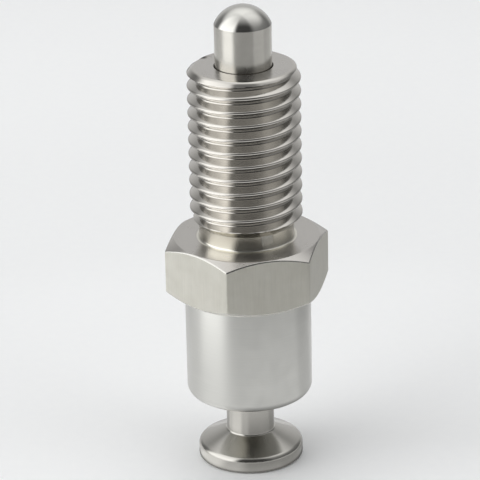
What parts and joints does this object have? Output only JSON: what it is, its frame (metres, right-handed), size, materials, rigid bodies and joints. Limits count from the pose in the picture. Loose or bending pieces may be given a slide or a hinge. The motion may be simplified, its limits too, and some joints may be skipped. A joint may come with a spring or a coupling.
{
  "type": "index plunger",
  "caption": "Stainless steel index plunger: a sprung pin with a domed nose in a threaded body with a hexagon and a plain rear sleeve, drawn back by a small pull knob.",
  "frame": {"origin": "centre of the knob's end face, which the plunger stands on", "axes": "+Z along the pin's axis, from the knob towards the domed nose; the hexagon's corners lie 14 degrees off the Y axis"},
  "size_m": [0.0174, 0.0176, 0.0512],
  "materials": {
    "body_steel": "turned and milled stainless steel, satin",
    "turned_steel": "fine turned stainless steel",
    "spring_wire": "drawn stainless spring wire"
  },
  "bodies": {
    "housing": {"threaded_body": "body_steel", "guide_bush": "turned_steel"},
    "turning_spring": {"compression_spring": "spring_wire"},
    "plunger": {"plunger_pin": "turned_steel", "pull_knob": "turned_steel"}
  },
  "joints": [
    {"name": "knob_turn", "type": "hinge", "parent": "housing", "child": "turning_spring", "pos_m": [0, 0, 0.0116], "axis": [0, 0, 1], "continuous": true},
    {"name": "knob_pull", "type": "slide", "parent": "turning_spring", "child": "plunger", "axis": [0, 0, -1], "range_m": [0, 0.0066], "stiffness_N_per_m": 1490, "springref_m": -0.004, "deforming": ["compression_spring"]}
  ]
}
